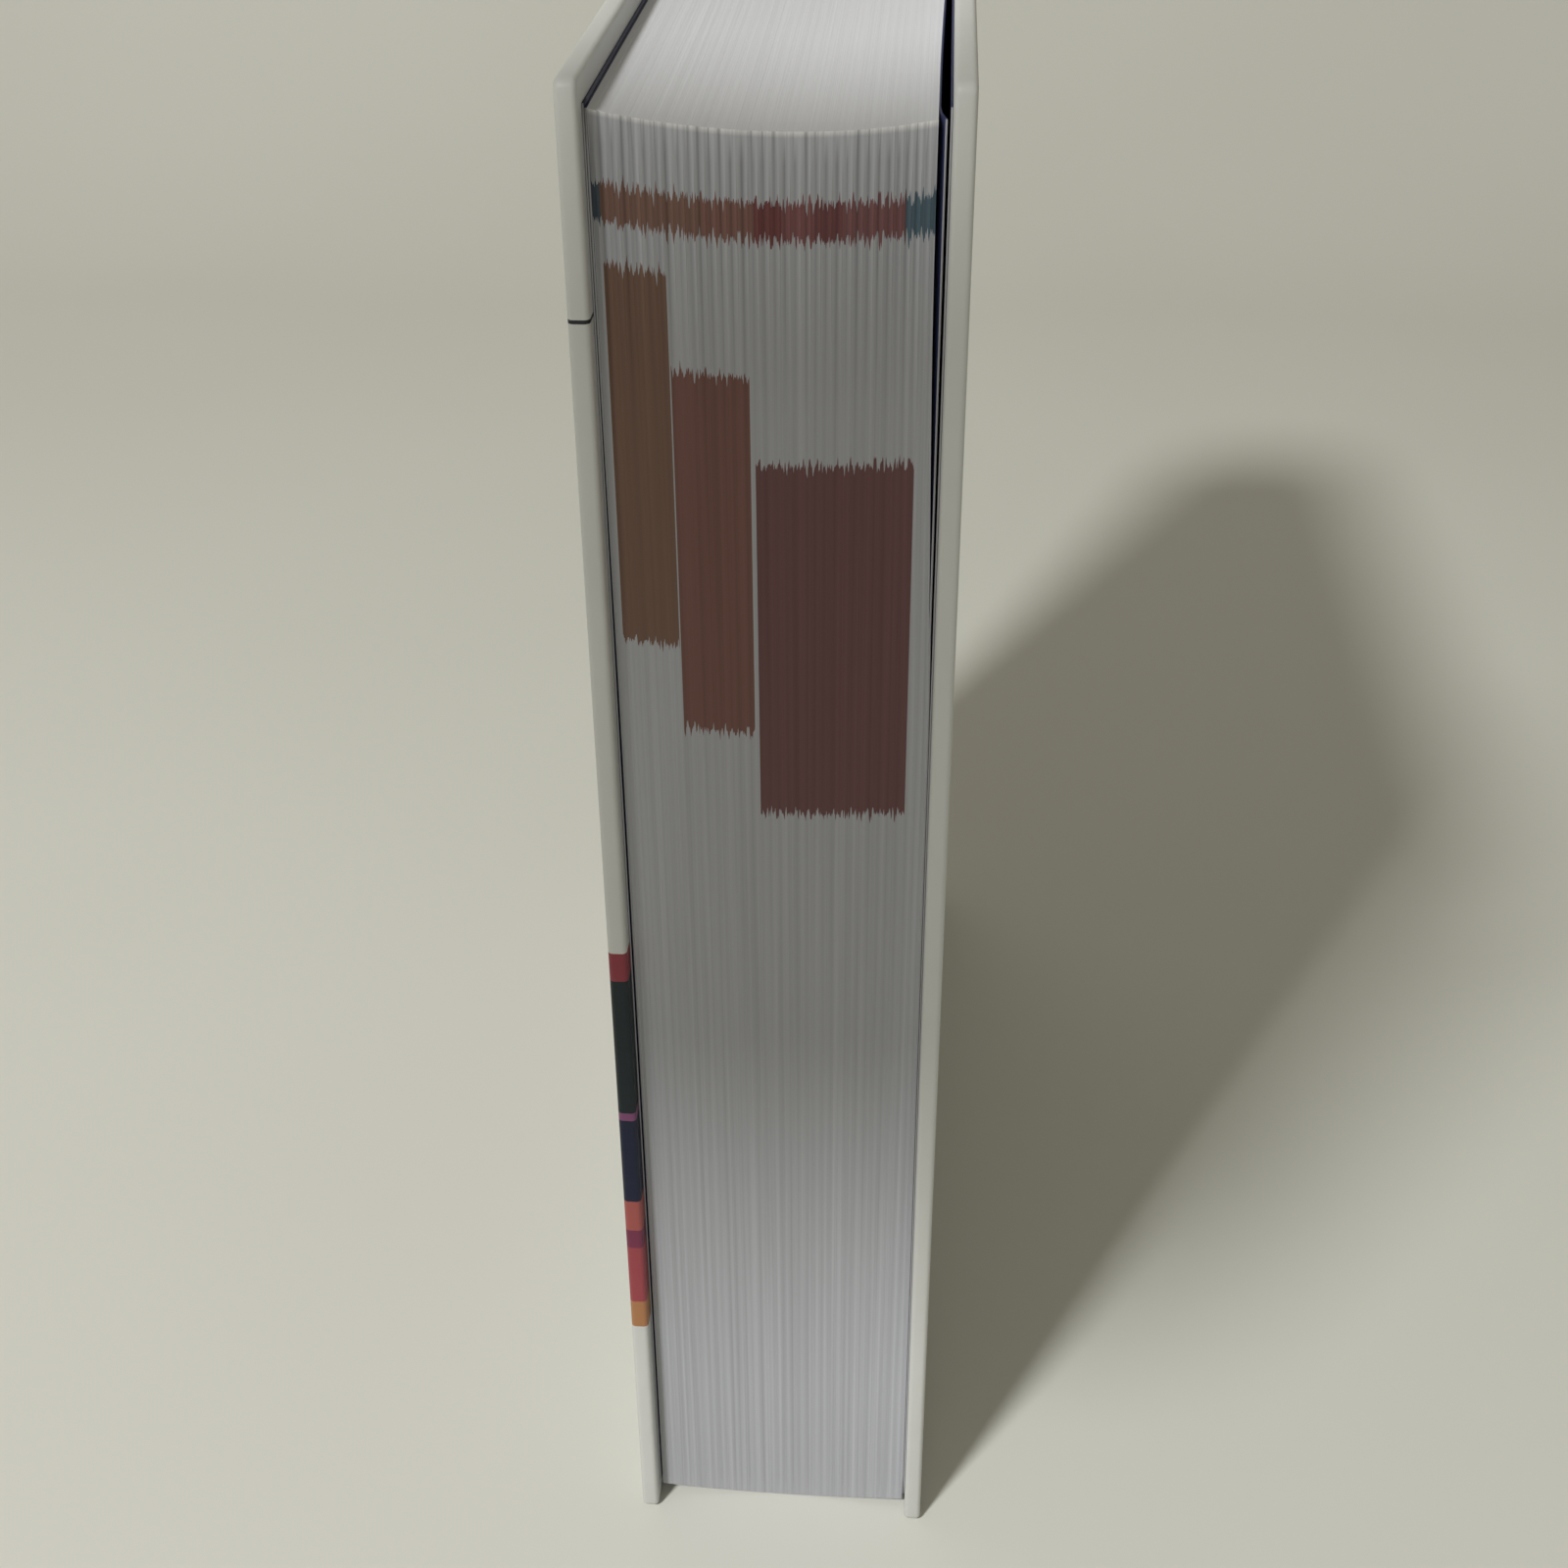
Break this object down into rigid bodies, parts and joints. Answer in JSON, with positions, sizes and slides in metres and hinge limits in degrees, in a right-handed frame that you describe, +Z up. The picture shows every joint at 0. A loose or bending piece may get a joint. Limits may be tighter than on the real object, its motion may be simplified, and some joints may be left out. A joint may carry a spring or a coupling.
{
  "type": "hardcover textbook",
  "caption": "Thick case-bound hardcover textbook standing on its tail, with a rounded spine, stepped thumb tabs on the fore edge and two hinged covers.",
  "frame": {"origin": "middle of the base of the standing book's bounding box", "axes": "+Z up from tail to head, +Y from the fore edge to the spine, +X from the front cover to the back cover"},
  "size_m": [0.056, 0.2264, 0.282],
  "materials": {
    "page_paper": "uncoated cut page edges, printed thumb tabs at the fore edge",
    "endpaper": "smooth navy sheet",
    "mull_cloth": "open-weave starched cotton",
    "kraft_paper": "unbleached",
    "band_cloth": "woven bead in two colours",
    "grey_board": "pressed grey board",
    "laminated_paper": "white printed sheet with a satin laminate"
  },
  "bodies": {
    "root": {"text_block": "page_paper", "front_flyleaf": "endpaper", "back_flyleaf": "endpaper", "spine_mull": "mull_cloth", "spine_lining": "kraft_paper", "headband": "band_cloth", "tailband": "band_cloth", "spine_inlay": "grey_board", "spine_case_paper": "laminated_paper"},
    "front_cover": {"front_board": "grey_board", "front_case_paper": "laminated_paper", "front_mull_flange": "mull_cloth", "front_pastedown": "endpaper"},
    "back_cover": {"back_board": "grey_board", "back_case_paper": "laminated_paper", "back_mull_flange": "mull_cloth", "back_pastedown": "endpaper"}
  },
  "joints": [
    {"name": "front_cover_hinge", "type": "hinge", "parent": "root", "child": "front_cover", "pos_m": [-0.02795, 0.10303, 0.141], "axis": [0, 0, -1], "range_deg": [0, 175]},
    {"name": "back_cover_hinge", "type": "hinge", "parent": "root", "child": "back_cover", "pos_m": [0.02795, 0.10303, 0.141], "axis": [0, 0, 1], "range_deg": [0, 175]}
  ]
}
